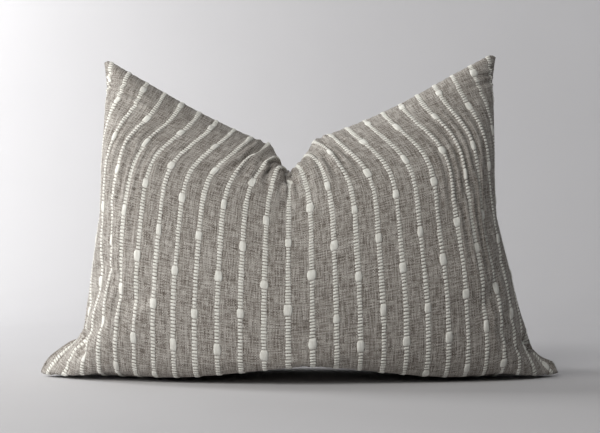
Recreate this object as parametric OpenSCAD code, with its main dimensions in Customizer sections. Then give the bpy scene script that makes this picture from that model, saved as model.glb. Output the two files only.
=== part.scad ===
// Lumbar throw pillow, standing on its long lower edge: a knife-edge woven cover
// with slub yarn stripes and a concealed zip, round a filled insert.
// Origin: on the ground under the middle of the pillow. X runs along its length,
// Y through its thickness (the front faces -Y), Z up. Millimetres.

/* [Cover] */
// Half the distance between the lower corner tips
bottom_half_w = 262; // [240:1:285]
// Half the distance between the upper corner tips
top_half_w = 199; // [180:1:230]
// Height of the upper corner tips
tip_h = 326; // [290:1:350]
// Height of the top seam at the bottom of the chop
chop_h = 190; // [150:1:215]
// Height of the shoulders on both sides of the chop
shoulder_h = 226; // [216:1:250]
// Half the thickness at the fullest place, without the cloth
belly = 95; // [60:1:105]
// Thickness of the cover cloth
cloth_t = 0.9; // [0.6:0.1:1.2]
// Width of the seam allowance turned inside
allowance = 10; // [8:1:12]

/* [Stripes] */
// Slub yarn stripes across each panel
stripes = 26; // [20:1:26]
// Width of a stripe
stripe_w = 5; // [3:0.2:6]
// How far a stripe stands off the cloth
stripe_t = 1.1; // [0.6:0.1:1.4]

/* [Zip] */
// Height of the lower seam over the ground, along the zip
zip_z = 12; // [12:1:15]
// Length of the zip tapes
zip_len = 456; // [400:2:456]
// Width of one zip tape
tape_w = 10; // [8:1:10]
// Spacing of the coil turns
coil_pitch = 1.9; // [1.6:0.1:2.4]
// Length of the pull from its pin to its tip
pull_len = 21; // [16:1:22]
// How far the pull droops at rest, in degrees
pull_droop = 13; // [8:1:14]

/* [Insert] */
// How far the insert stays inside the cover at its seam
insert_inset = 14; // [13:1:18]
// How far the insert stays inside the cover at its fullest place
insert_gap = 3; // [2:0.5:5]
// Thickness of the insert casing
casing_t = 0.5; // [0.4:0.1:0.8]

/* [Hidden] */

// Length of a finished panel when laid flat. The other way it is 356.
cut_w = 559;
// How sharply the side seams flare to the lower corner tips.
flare = 4;
// Height of the lower corner tips, and the share of the half length that the chop takes.
corner_z = 3;
chop_share = 0.13;
// How far a belly would hang below the ground if it could: it lies flat there instead.
cover_sag = 16;
insert_sag = 11;
// The insert's top seam is this many times its inset below the cover's.
top_drop = 1.4;
// Share of a panel's height that turns up from the ground to the lower seam.
groove_share = 0.055;
// Cells of the cover's grid, across and up, and of the insert's.
cells_x = 32;
cells_z = 18;
casing_x = 20;
casing_z = 14;
// The zip lies where the lower seam is straight, up to this share of the half width.
zip_share = 0.875;
slit = 0.5;
thread_r = 0.17;
overlock_r = 0.35;
overlock_in = allowance + 1.2;

linen = [0.62, 0.58, 0.53];
slub_white = [0.93, 0.92, 0.88];
casing_white = [0.95, 0.94, 0.92];
fill_white = [0.98, 0.97, 0.94];
tape_grey = [0.55, 0.52, 0.48];
nickel = [0.72, 0.72, 0.74];

function clamp01(t) = max(0, min(1, t));
function smooth(t) = let (s = clamp01(t)) s * s * (3 - 2 * s);
function mix(p, q, w) = p * (1 - w) + q * w;

// The seam outline. a runs from -1 to 1 along the length, b from 0 to 1 up the height.
function half_w(b) = top_half_w + (bottom_half_w - top_half_w) * pow(1 - b, flare);
function seam_low(a) = zip_z - (zip_z - corner_z) * smooth((abs(a) - zip_share) / (1 - zip_share));
function seam_top(a) = chop_h + (shoulder_h - chop_h) * smooth(abs(a) / chop_share)
    + (tip_h - shoulder_h) * abs(a);

// How full a panel is: 1 in its middle, 0 on the seam, fullest below the middle.
function fullness(a, b) = pow(max(0, cos(90 * a)), 0.82) * pow(max(0, sin(180 * pow(b, 0.85))), 0.62);

// A shell's settings are a list of five lengths, read by these names: its distance inside the
// cover's seam, the rise of its lower seam, its half thickness, its ground and its sag.
inset_i = 0;
rise_i = 1;
half_i = 2;
ground_i = 3;
sag_i = 4;

// A point of a shell's outer face, on the front side. The belly hangs and lies flat on the ground.
function face_point(a, b, shell) =
    let (inset = shell[inset_i],
         full = fullness(a, b),
         turn = 0.9 * sqrt(sin(180 * b)),
         across = mix(a, sin(90 * a), turn),
         low = seam_low(a) + shell[rise_i],
         top = seam_top(a) - top_drop * inset,
         climb = mix(b, (1 - cos(180 * b)) / 2, 0.5),
         hang = (low + shell[sag_i]) * sqrt(max(0, cos(90 * a))),
         flat_z = max(shell[ground_i], low - hang + (top - low + hang) * climb),
         groove = 1 - smooth(b / (groove_share * (1 + inset / 14))))
    [(half_w(b) - inset) * across, -shell[half_i] * full, mix(flat_z, low, groove)];

// Outward normal of the face, from two short steps over it.
function face_normal(a, b, shell) =
    let (h = 0.01, a0 = max(-1, a - h), a1 = min(1, a + h), b0 = max(0, b - h), b1 = min(1, b + h),
         n = cross(face_point(a1, b, shell) - face_point(a0, b, shell),
                   face_point(a, b1, shell) - face_point(a, b0, shell)))
    n / max(norm(n), 1e-9);

// A point of a shell's seam plane, moved inside by a distance from its seam.
function seam_point(a, b, shell, inside) =
    let (x = (half_w(b) - shell[inset_i]) * a,
         low = seam_low(a) + shell[rise_i],
         top = seam_top(a) - top_drop * shell[inset_i],
         z = low + (top - low) * b)
    [x * (1 - inside / (half_w(b) - shell[inset_i])), 0, z + inside * (1 - 2 * b)];

// The grid's boundary as a loop of [a, b], starting at the lower left corner.
function border(nx, nz) = [
    for (i = [0:nx - 1]) [2 * i / nx - 1, 0],
    for (j = [0:nz - 1]) [1, j / nz],
    for (i = [0:nx - 1]) [1 - 2 * i / nx, 1],
    for (j = [0:nz - 1]) [-1, 1 - j / nz]];
function border_index(k, nx, nz) =
    k < nx ? k :
    k < nx + nz ? nx + (k - nx) * (nx + 1) :
    k < 2 * nx + nz ? nz * (nx + 1) + nx - (k - nx - nz) :
    (nz - (k - 2 * nx - nz)) * (nx + 1);

// Where the lower seam is the zip opening, the allowance lies pressed open.
function pressed(a, b, has_zip) =
    has_zip && b == 0 ? 1 - clamp01((abs(a) - zip_share) * cells_x / 2) : 0;

// The turned-in allowance's corners, from the seam round a channel for the thread to the
// inner face: how far inside the seam each lies, and how deep in the cloth.
function hem_in(k, hem_w) = [0, 0.5, 0.5, 1.5, 1.5, hem_w, hem_w, 0.9][k];
function hem_deep(k, t) = [0, 0, 0.25, 0.25, 0, 0, t, t][k];
// The same corners where the allowance is pressed open over the zip tape.
function open_y(k, t, hem_w) = [0, 0, 0, 0, 0, hem_w, hem_w, 2 * t][k];
function open_z(k, t) = [0, 0.5 * t, t, 1.5 * t, 2 * t, 2 * t, t + 0.1, t][k];
function hem_point(a, b, k, shell, t, hem_w, open) =
    let (flat = seam_point(a, b, shell, hem_in(k, hem_w)) - [0, hem_deep(k, t), 0],
         out = seam_point(a, b, shell, 0) + [0, -slit - open_y(k, t, hem_w), open_z(k, t)])
    mix(flat, out, open);

// A point of a panel's grid: on the face, or on the edge of the seam.
function grid_point(i, j, nx, nz, shell, t, has_zip) =
    let (a = 2 * i / nx - 1, b = j / nz,
         on_seam = i == 0 || i == nx || j == 0 || j == nz,
         p = on_seam ? seam_point(a, b, shell, 0) : face_point(a, b, shell))
    p - [0, on_seam ? t + slit * pressed(a, b, has_zip) : 0, 0];

// The back of the pillow is its front turned about the upright axis.
module at_back() {
    rotate([0, 0, 180]) children();
}

// One sewn panel, at the front, as a closed shell: outer face, turned-in allowance, inner face.
module panel(nx, nz, shell, t, hem_w, has_zip) {
    outer = [for (j = [0:nz], i = [0:nx]) grid_point(i, j, nx, nz, shell, t, has_zip)];
    loop = border(nx, nz);
    n_loop = len(loop);
    n_hem = 8;
    hems = [for (k = [0:n_hem - 1], ab = loop)
        hem_point(ab[0], ab[1], k, shell, t, hem_w, pressed(ab[0], ab[1], has_zip))];
    inner = [for (j = [1:nz - 1], i = [1:nx - 1])
        let (a = 2 * i / nx - 1, b = j / nz) face_point(a, b, shell) - t * face_normal(a, b, shell)];
    base_hem = len(outer);
    base_in = base_hem + len(hems);
    function at_inner(i, j) = base_in
        + (max(1, min(nz - 1, j)) - 1) * (nx - 1) + max(1, min(nx - 1, i)) - 1;
    function grid_ij(k) = let (ab = loop[k]) [round((ab[0] + 1) * nx / 2), round(ab[1] * nz)];
    // The list starts in the middle of the panel, where a face's outside is plainest.
    outer_faces = [for (row = [0:nz - 1], column = [0:nx - 1])
        let (j = (row + floor(nz / 2)) % nz, i = (column + floor(nx / 2)) % nx, q = j * (nx + 1) + i)
        each [[q + nx + 2, q + 1, q], [q + nx + 1, q + nx + 2, q]]];
    rim_faces = [for (k = [0:n_loop - 1])
        let (m = (k + 1) % n_loop, p = border_index(k, nx, nz), q = border_index(m, nx, nz),
             h0 = base_hem + k, h1 = base_hem + m)
        each [[h0, p, q], [h1, h0, q]]];
    hem_faces = [for (s = [0:n_hem - 2], k = [0:n_loop - 1])
        let (m = (k + 1) % n_loop, h = base_hem + s * n_loop, g = h + n_loop)
        each [[g + k, h + k, h + m], [g + m, g + k, h + m]]];
    last = base_hem + (n_hem - 1) * n_loop;
    join_faces = [for (k = [0:n_loop - 1])
        let (m = (k + 1) % n_loop, p = grid_ij(k), q = grid_ij(m),
             ip = at_inner(p[0], p[1]), iq = at_inner(q[0], q[1]))
        each concat([[ip, last + k, last + m]], ip == iq ? [] : [[iq, ip, last + m]])];
    inner_faces = [for (j = [1:nz - 2], i = [1:nx - 2])
        let (q = base_in + (j - 1) * (nx - 1) + i - 1)
        each [[q + 1, q + nx, q], [q + nx, q + nx - 1, q]]];
    polyhedron(concat(outer, hems, inner),
        concat(outer_faces, rim_faces, hem_faces, join_faces, inner_faces), convexity = 8);
}

// A tube with flat ends along points, with its rings square to the path.
module tube(points, r, sides) {
    n = len(points);
    rings = [for (i = [0:n - 1])
        let (d = points[min(n - 1, i + 1)] - points[max(0, i - 1)],
             along = d / norm(d), u = [0, 1, 0], v = cross(along, u), w = v / norm(v))
        for (k = [0:sides - 1]) points[i] + r * (cos(360 * k / sides) * u + sin(360 * k / sides) * w)];
    walls = [for (i = [0:n - 2], k = [0:sides - 1])
        let (m = (k + 1) % sides, p = i * sides, q = p + sides)
        each [[p + k, q + k, q + m], [p + k, q + m, p + m]]];
    start = [for (k = [0:sides - 1]) k];
    end = [for (k = [sides - 1:-1:0]) (n - 1) * sides + k];
    polyhedron(rings, concat(walls, [start, end]), convexity = 8);
}

// The sewn seam as [a, b]: up one side, over the top and down the other side.
function sewn_seam(nx, nz, from) = concat(
    [[from, 0], [1, 0]],
    [for (j = [1:nz - 1]) [1, j / nz]],
    [for (i = [0:nx]) [1 - 2 * i / nx, 1]],
    [for (j = [nz - 1:-1:1]) [-1, j / nz]],
    [[-1, 0], [-from, 0]]);

module seam_tube(nx, nz, shell, from, inside, r, sides) {
    tube([for (ab = sewn_seam(nx, nz, from)) seam_point(ab[0], ab[1], shell, inside)], r, sides);
}

cover = [0, 0, belly, 0, cover_sag];
module cover_front_panel() {
    color(linen) panel(cells_x, cells_z, cover, cloth_t, allowance, true);
}
module cover_back_panel() {
    at_back() cover_front_panel();
}

// A point on a panel's flat facets, with row counted up from the lower seam.
function facet_point(a, row, nx, nz, shell, t, has_zip) =
    let (u = (a + 1) * nx / 2, i = min(nx - 1, floor(u)), j = min(nz - 1, floor(row)),
         at = function (di, dj) grid_point(i + di, j + dj, nx, nz, shell, t, has_zip))
    mix(mix(at(0, 0), at(1, 0), u - i), mix(at(0, 1), at(1, 1), u - i), row - j);

// A strip that lies on a panel along its rows: a yarn on the cover, or a label on the insert.
module strip(a_mid, half_a, rows, base, thick, nx, nz, shell, t, has_zip) {
    function corner(a, row, off) =
        facet_point(a, row, nx, nz, shell, t, has_zip) + off * face_normal(a, row / nz, shell);
    rings = [for (row = rows)
        each [corner(a_mid - half_a, row, base), corner(a_mid + half_a, row, base),
              corner(a_mid + half_a * 0.7, row, base + thick),
              corner(a_mid - half_a * 0.7, row, base + thick)]];
    walls = [for (j = [0:len(rows) - 2], k = [0:3])
        let (m = (k + 1) % 4, p = 4 * j, q = p + 4)
        each [[p + k, p + m, q + m], [p + k, q + m, q + k]]];
    polyhedron(rings, concat(walls, [[3, 2, 1, 0], [for (k = [0:3]) 4 * (len(rows) - 1) + k]]));
}

// One slub yarn, from where the panel leaves the ground to just under the top seam.
yarn_gap = 1;
module slub_yarn(a_mid) {
    first = [for (j = [1:cells_z]) if (face_point(a_mid, j / cells_z, cover)[2] > 2.5) j][0];
    rows = concat([for (j = [first:cells_z - 1]) j], [cells_z - 0.35]);
    strip(a_mid, stripe_w / cut_w, rows, yarn_gap, stripe_t, cells_x, cells_z, cover, cloth_t, true);
}
module front_slub_yarns() {
    color(slub_white) for (i = [0:stripes - 1]) slub_yarn((2 * i + 1) / stripes - 1);
}
module back_slub_yarns() {
    at_back() front_slub_yarns();
}

module cover_seam_thread() {
    color(linen) seam_tube(cells_x, cells_z, cover, 0.94, 1, thread_r, 5);
}
module cover_overlock_thread() {
    color(casing_white) seam_tube(cells_x, cells_z, cover, 0.94, overlock_in, overlock_r, 5);
}

// Levels of the zip, counted up from the lower seam.
tape_low = zip_z + 2 * cloth_t + 0.05;
tape_t = 0.4;
coil_low = tape_low + tape_t;
coil_h = 1.6;
coil_w = 1.4;
coil_half_len = 220.5;
stop_len = 2.6;

module zip_tape(side) {
    color(tape_grey)
    translate([-zip_len / 2, side < 0 ? -slit - 0.2 - tape_w : slit + 0.2, tape_low])
        cube([zip_len, tape_w, tape_t]);
}
module zip_tape_front() { zip_tape(-1); }
module zip_tape_back() { zip_tape(1); }

// A coil as a rail with one tooth for each turn, its teeth facing the other coil.
module zip_coil(side) {
    turns = floor(2 * coil_half_len / coil_pitch);
    tooth = 0.5 * coil_pitch;
    root = 0.6;
    outline = concat(
        [for (i = [0:turns - 1]) let (x = i * coil_pitch - coil_half_len)
            each [[x, root], [x, coil_w], [x + tooth, coil_w], [x + tooth, root]]],
        [[turns * coil_pitch - coil_half_len, root], [turns * coil_pitch - coil_half_len, 0],
         [-coil_half_len, 0]]);
    near = slit + 0.05;
    color(tape_grey) translate([0, 0, coil_low]) linear_extrude(coil_h)
        polygon([for (p = outline) [p[0], side * (near + coil_w - p[1])]]);
}
module zip_coil_front() { zip_coil(-1); }
module zip_coil_back() { zip_coil(1); }

// One row of stitches along each tape.
module zip_stitching() {
    row_y = slit + 0.2 + 0.45 * tape_w;
    color(linen) for (side = [-1, 1])
        translate([-zip_len / 2 + 2, side * row_y, coil_low + 0.2])
            rotate([0, 90, 0]) cylinder(h = zip_len - 4, r = 0.2, $fn = 24);
}
module zip_top_stops() {
    color(tape_grey) for (side = [-1, 1])
        translate([coil_half_len + 0.5, side * (slit + 0.75) - 0.7, coil_low])
            cube([stop_len, 1.4, coil_h + 0.3]);
}
module zip_bottom_stop() {
    color(tape_grey) translate([-coil_half_len - 0.3 - stop_len, -2.1, coil_low])
        cube([stop_len, 4.2, coil_h + 0.3]);
}

// The slider: a shoe over the coils, a neck through the slit, and lugs for the pull's pin.
slider_x = 215.5;
shoe_len = 9;
shoe_half_w = 3.2;
shoe_wall = 0.7;
neck_t = 0.7;
pin_z = zip_z - 4.6;
pin_r = 0.5;
lug_y = 1.75;
lug_t = 0.75;
module zip_slider() {
    shoe_low = coil_low + 0.25;
    roof_low = coil_low + coil_h + 0.25;
    plate_z = zip_z - 2.6;
    color(nickel) union() {
        translate([slider_x - shoe_len / 2, -shoe_half_w, roof_low]) cube([shoe_len, 2 * shoe_half_w, 0.9]);
        for (side = [-1, 1])
            translate([slider_x - shoe_len / 2, side * (shoe_half_w - shoe_wall / 2) - shoe_wall / 2, shoe_low])
                cube([shoe_len, shoe_wall, roof_low - shoe_low + 0.1]);
        translate([slider_x - 1.5, -neck_t / 2, plate_z]) cube([3, neck_t, roof_low - plate_z + 0.1]);
        translate([slider_x - 4, -lug_y - lug_t, plate_z - 0.1]) cube([8, 2 * (lug_y + lug_t), 0.9]);
        for (side = [-1, 1]) hull() {
            translate([slider_x - 1.6, side * (lug_y + lug_t / 2) - lug_t / 2, plate_z]) cube([3.2, lug_t, 0.2]);
            translate([slider_x, side * (lug_y + lug_t / 2) + lug_t / 2, pin_z])
                rotate([90, 0, 0]) cylinder(h = lug_t, r = 1.1, $fn = 32);
        }
        translate([slider_x, lug_y + lug_t / 2, pin_z])
            rotate([90, 0, 0]) cylinder(h = 2 * lug_y + lug_t, r = pin_r, $fn = 32);
    }
}

// The pull: a flat teardrop with an eye round the pin, drooping from it.
module zip_pull() {
    eye_r = 1.25;
    eye_half_w = 1.5;
    blade_t = 1.1;
    translate([slider_x, 0, pin_z]) rotate([0, pull_droop, 0]) color(nickel) difference() {
        union() {
            rotate([90, 0, 0]) translate([0, 0, -eye_half_w]) cylinder(h = 2 * eye_half_w, r = eye_r, $fn = 48);
            translate([0, 0, -blade_t / 2]) linear_extrude(blade_t) hull() {
                translate([0.9, -1.2]) square([0.2, 2.4]);
                translate([pull_len - 3, 0]) circle(r = 3, $fn = 48);
            }
        }
        rotate([90, 0, 0]) translate([0, 0, -4]) cylinder(h = 8, r = pin_r + 0.06, $fn = 48);
    }
}

// The insert: its lower seam stays above the zip, and it rests on the cover's inner face.
insert_rise = 13;
insert = [insert_inset, insert_rise, belly - cloth_t - insert_gap, 2.2, insert_sag];
casing_hem = 6;
module insert_front_casing() {
    color(casing_white) panel(casing_x, casing_z, insert, casing_t, casing_hem, false);
}
module insert_back_casing() {
    at_back() insert_front_casing();
}
module insert_seam_thread() {
    color(fill_white) seam_tube(casing_x, casing_z, insert, 0.9, 1, thread_r, 5);
}

// The fill: one closed cushion of fibre, inside the casing and its allowance.
fill = insert + [casing_hem + 2, casing_hem + 2, -3.5, 1.5, -3];
module insert_fill() {
    nx = casing_x;
    nz = casing_z;
    count = (nx + 1) * (nz + 1);
    front = [for (j = [0:nz], i = [0:nx]) face_point(2 * i / nx - 1, j / nz, fill)];
    back = [for (p = front) [p[0], -p[1], p[2]]];
    function shift(i, j) = i > 0 && i < nx && j > 0 && j < nz ? count : 0;
    function at(i, j, side) = j * (nx + 1) + i + (side > 0 ? shift(i, j) : 0);
    // Two cells lie across a corner: there the other diagonal keeps the two faces apart.
    function cell(p, q, r, s, side, crossed) =
        let (pair = crossed ? [[p, q, s], [q, r, s]] : [[p, q, r], [p, r, s]])
        side > 0 ? pair : [for (f = pair) [f[2], f[1], f[0]]];
    faces = [for (side = [-1, 1], j = [0:nz - 1], i = [0:nx - 1])
        let (p = at(i, j, side), q = at(i + 1, j, side), r = at(i + 1, j + 1, side), s = at(i, j + 1, side))
        each cell(p, q, r, s, side, (i == nx - 1 && j == 0) || (i == 0 && j == nz - 1))];
    color(fill_white) polyhedron(concat(front, back), faces, convexity = 8);
}

// A blank care label, sewn into the insert's side seam and lying flat on its front casing.
label_a = 0.93;
label_half_w = 8;
label_t = 0.2;
module insert_label() {
    color(casing_white)
        strip(label_a, label_half_w / cut_w, [6, 7, 8], 0.35, label_t, casing_x, casing_z, insert,
            casing_t, false);
}

cover_front_panel();
cover_back_panel();
front_slub_yarns();
back_slub_yarns();
cover_seam_thread();
cover_overlock_thread();
zip_tape_front();
zip_tape_back();
zip_coil_front();
zip_coil_back();
zip_stitching();
zip_top_stops();
zip_bottom_stop();
zip_slider();
zip_pull();
insert_front_casing();
insert_back_casing();
insert_seam_thread();
insert_fill();
insert_label();
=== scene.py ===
import math
import bpy
import numpy as np
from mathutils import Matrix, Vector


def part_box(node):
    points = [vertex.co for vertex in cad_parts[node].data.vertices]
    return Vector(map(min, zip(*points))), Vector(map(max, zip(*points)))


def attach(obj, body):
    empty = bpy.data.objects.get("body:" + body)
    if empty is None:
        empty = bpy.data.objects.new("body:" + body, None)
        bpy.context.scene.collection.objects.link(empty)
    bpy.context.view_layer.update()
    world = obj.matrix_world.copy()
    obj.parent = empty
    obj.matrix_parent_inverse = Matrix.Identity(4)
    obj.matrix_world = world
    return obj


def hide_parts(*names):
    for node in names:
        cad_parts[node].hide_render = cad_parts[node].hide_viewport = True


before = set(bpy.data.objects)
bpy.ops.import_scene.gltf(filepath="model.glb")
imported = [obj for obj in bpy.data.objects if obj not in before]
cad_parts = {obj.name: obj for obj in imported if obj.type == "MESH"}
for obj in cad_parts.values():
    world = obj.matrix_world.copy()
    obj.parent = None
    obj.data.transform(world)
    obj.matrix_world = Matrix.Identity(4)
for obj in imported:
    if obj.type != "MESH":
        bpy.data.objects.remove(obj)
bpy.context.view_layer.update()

scene = bpy.context.scene
body = "pillow"

# the cover as it was cut and sewn, and how it stands; metres
cover = dict(
    flatWidth=0.559,
    flatHeight=0.356,
    cellsAcross=104,
    cellsUp=68,
    topHalf=0.202,        # half the distance between the upper tips
    leftTip=0.324,
    rightTip=0.330,
    chopAt=-0.011,        # the chop is a little off the middle
    chopSeam=0.168,       # top seam at the bottom of the chop, hidden between the two rolls
    chopRoll=0.208,       # top of the cloth that rolls over it
    cornerRound=0.0024,
    gatherTop=0.8,        # how far the cloth closes up towards the chop along the top edge
    leftShoulder=0.233,
    rightShoulder=0.237,
    leftChop=0.022,       # how far the chop opens on each side
    rightChop=0.031,
    seamHeight=0.012,     # lower seam over the ground
    cornerHeight=0.003,
    zipShare=0.875,       # share of the lower seam that the zip takes up
    sag=0.016,            # how far the cloth hangs below the seam before it meets the ground
    grooveShare=0.055,    # share of the height that is tucked in beside the zip
    startFill=0.95,
    humpHigh=0.014,       # the middle of the lower edge stands clear of the ground
    humpHalf=0.150,
    frames=14,
    holdSides=0.9,        # how firmly the seams keep to their planned line
    holdTop=0.4,
    holdChop=0.98,
    pressure=12,
)
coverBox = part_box("cover_front_panel")
cover["bottomHalf"] = coverBox[1][0]
cover["halfDepth"] = -coverBox[0][1]

# the side seams: height up the pillow, then distance from its middle
leftSide = ((0, 0.262), (0.008, 0.264), (0.012, 0.263), (0.027, 0.255), (0.040, 0.242), (0.050, 0.229),
            (0.0535, 0.213), (0.062, 0.211), (0.100, 0.206), (0.135, 0.200), (0.165, 0.193), (0.225, 0.193),
            (0.290, 0.199), (0.324, 0.202))
rightSide = ((0, 0.262), (0.006, 0.263), (0.014, 0.260), (0.021, 0.2575), (0.0235, 0.248), (0.030, 0.243),
             (0.041, 0.234), (0.065, 0.2245), (0.085, 0.215), (0.110, 0.2085), (0.130, 0.201), (0.155, 0.192),
             (0.178, 0.187), (0.210, 0.190), (0.270, 0.196), (0.330, 0.202))


def smooth(t):
    t = np.clip(t, 0.0, 1.0)
    return t * t * (3 - 2 * t)


def mix(p, q, w):
    return p * (1 - w) + q * w


# where the seam runs; a is -1 to 1 along the pillow, b is 0 to 1 up it
def seamLow(a):
    fall = smooth((abs(a) - cover["zipShare"]) / (1 - cover["zipShare"]))
    return cover["seamHeight"] - (cover["seamHeight"] - cover["cornerHeight"]) * fall


# how much of the chop is felt at x: 1 in its middle, 0 beyond the shoulders
def chopShare(x):
    x = x - cover["chopAt"]
    return 1 - smooth(abs(x) / np.where(x < 0, cover["leftChop"], cover["rightChop"]))


# height of the top edge, with the chop's bottom at the given height
def seamTop(x, chopHeight):
    side = np.where(x < cover["chopAt"], -1, 1)
    shoulder = np.where(side < 0, cover["leftShoulder"], cover["rightShoulder"])
    tip = np.where(side < 0, cover["leftTip"], cover["rightTip"])
    out = abs(x - cover["chopAt"]) / abs(side * cover["topHalf"] - cover["chopAt"])
    share = chopShare(x)
    return mix(shoulder, chopHeight, share) + (tip - shoulder) * out ** 1.35


# half the width at a height, rounded over a few centimetres
def sideAt(side, height):
    steps = np.array([-0.003, -0.0015, 0.0, 0.0015, 0.003])
    known = np.array(side)
    samples = [np.interp(np.clip(height + step, 0, None), known[:, 0], known[:, 1]) for step in steps]
    return sum(samples) / len(steps)


def halfWidth(a, b):
    left = sideAt(leftSide, b * cover["leftTip"])
    right = sideAt(rightSide, b * cover["rightTip"])
    return mix(left, right, smooth(a * 0.5 + 0.5))


# the cloth's place along the top edge, which takes up more cloth where it dives into the chop
def topPlace(a):
    x = np.linspace(-cover["topHalf"], cover["topHalf"], 401)
    steps = np.hypot(np.diff(x), np.diff(seamTop(x, cover["chopSeam"])))
    run = np.concatenate([[0], np.cumsum(steps)])
    return np.interp(a, run / run[-1] * 2 - 1, x / cover["topHalf"])


# the panel's place before it is inflated
def plannedPoint(a, b, fill):
    bulge = np.sin(np.pi * b).clip(0)
    narrow = np.maximum(0, np.cos(np.pi / 2 * a))
    full = narrow ** 0.52 * np.maximum(0, np.sin(np.pi * b ** 0.85)) ** 0.62
    across = mix(a, np.sin(np.pi / 2 * a), 0.9 * np.sqrt(bulge))
    across = mix(across, mix(a, topPlace(a), cover["gatherTop"]), smooth((b - 0.66) / 0.3))
    x = halfWidth(a, b) * across
    low, seam, roll = seamLow(a), seamTop(x, cover["chopSeam"]), seamTop(x, cover["chopRoll"])
    dive = smooth((b - 0.86) / 0.14)
    top = mix(roll, seam, dive)
    climb = mix(b, (1 - np.cos(np.pi * b)) / 2, 0.5)
    climb = mix(climb, 1 - (1 - climb) * (1 - smooth((b - 0.7) / 0.16)), chopShare(x))
    hang = (low + cover["sag"]) * narrow ** 0.35
    z = np.maximum(0.0015, low - hang + (top - low + hang) * climb)
    z = mix(z, low, 1 - smooth(b / cover["grooveShare"]))
    blunt = (abs(a) == 1) & ((b == 0) | (b == 1))
    x = x - blunt * np.sign(a) * cover["cornerRound"]
    z = z - blunt * (2 * b - 1) * cover["cornerRound"] * (b == 1) * 1.3
    return np.stack([x, -fill * cover["halfDepth"] * full, z], axis=-1)


# the two panels share the vertices along their seam
def sewnGrid():
    nx, nz = cover["cellsAcross"], cover["cellsUp"]
    i, j = np.meshgrid(np.arange(nx + 1), np.arange(nz + 1))
    a, b = 2 * i / nx - 1, j / nz
    front = np.arange((nx + 1) * (nz + 1)).reshape(nz + 1, nx + 1)
    inside = (i > 0) & (i < nx) & (j > 0) & (j < nz)
    back = front.copy()
    back[inside] = front.size + np.arange(inside.sum())
    return a, b, front, back, inside


def quads(index):
    return np.stack([index[:-1, :-1], index[:-1, 1:], index[1:, 1:], index[1:, :-1]], axis=-1).reshape(-1, 4)


# how high the ground pushes the cloth: the middle of the lower edge is arched clear of it
def groundUnder(x, y):
    arch = cover["humpHigh"] * (1 - smooth(abs(x - 0.01) / cover["humpHalf"]))
    return arch * mix(0.25, 1.0, smooth((0.05 - y) / 0.09))


settling = dict(
    passes=420,
    stretch=0.42,         # how hard cloth that is too long is pulled back
    squeeze=0.16,         # and how hard cloth that is too short is let out
    shear=0.10,
    bend=0.035,
    swell=0.00002,        # outward push of the filling on each pass
    weigh=0.00006,        # downward pull on the cloth near the ground
    channel=0.0038,       # half width of the groove that the zip runs in
    channelHalf=0.24,     # half its length
    channelTop=0.010,
)


# lets the cloth slide and stretch from its planned place until its threads have the length they were cut to
def settleCloth(front, back, hold):
    stepA, stepB = cover["flatWidth"] / cover["cellsAcross"], cover["flatHeight"] / cover["cellsUp"]
    diagonal = math.hypot(stepA, stepB)
    wanted = front.copy()
    edge = np.ones(front.shape[:2], dtype=bool)
    edge[1:-1, 1:-1] = False
    links = (((slice(None), slice(1, None)), (slice(None), slice(None, -1)), stepA, 1.0),
             ((slice(1, None), slice(None)), (slice(None, -1), slice(None)), stepB, 1.0),
             ((slice(1, None), slice(1, None)), (slice(None, -1), slice(None, -1)), diagonal, settling["shear"]),
             ((slice(1, None), slice(None, -1)), (slice(None, -1), slice(1, None)), diagonal, settling["shear"]))
    for _ in range(settling["passes"]):
        for side, points in ((1, front), (-1, back)):
            move = np.zeros_like(points)
            for far, near, rest, share in links:
                gap = points[far] - points[near]
                length = np.maximum(np.linalg.norm(gap, axis=-1, keepdims=True), 1e-6)
                over = length - rest
                pull = gap / length * over * np.where(over > 0, settling["stretch"], settling["squeeze"]) * share
                move[near] += pull / 2
                move[far] -= pull / 2
            inner = points[1:-1, 1:-1]
            around = (points[2:, 1:-1] + points[:-2, 1:-1] + points[1:-1, 2:] + points[1:-1, :-2]) / 4
            move[1:-1, 1:-1] += (around - inner) * settling["bend"]
            move[1:-1, 1:-1] += outward(points, side)[1:-1, 1:-1] * settling["swell"]
            move[..., 2] -= settling["weigh"] * (1 - smooth(points[..., 2] / 0.05))
            points += move
            # the lips stand clear of the slider and the pull
            beside = (abs(points[..., 0]) < settling["channelHalf"]) & (points[..., 2] < settling["channelTop"])
            room = np.where(beside, settling["channel"], 0.0004)
            points[..., 1] = np.where(edge, points[..., 1], -side * np.maximum(-side * points[..., 1], room))
            floor = groundUnder(points[..., 0], points[..., 1]) + 0.0016
            points[..., 2] = np.where(edge, points[..., 2], np.maximum(points[..., 2], floor))
        seam = (front + back) / 2
        seam = mix(seam, wanted, hold[..., None])
        front[edge] = seam[edge]
        back[edge] = seam[edge]
    return front, back


# how firmly each place on the seam keeps to its line
def holdWeights(a, b):
    weight = mix(cover["holdTop"], cover["holdChop"], chopShare(a * cover["topHalf"])) * (b == 1)
    weight = np.where((b < 1) & (abs(a) == 1), cover["holdSides"], weight)
    return np.where((b == 0) | (abs(a) == 1) & (b == 1), 1.0, weight)


# how the cloth simulation treats the cover
wovenCotton = dict(
    quality=8, mass=0.1, tension_stiffness=60, compression_stiffness=40, shear_stiffness=20, bending_stiffness=0.8,
    tension_damping=4, compression_damping=4, shear_damping=4, bending_damping=0.5, air_damping=1, pin_stiffness=3,
)


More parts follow.
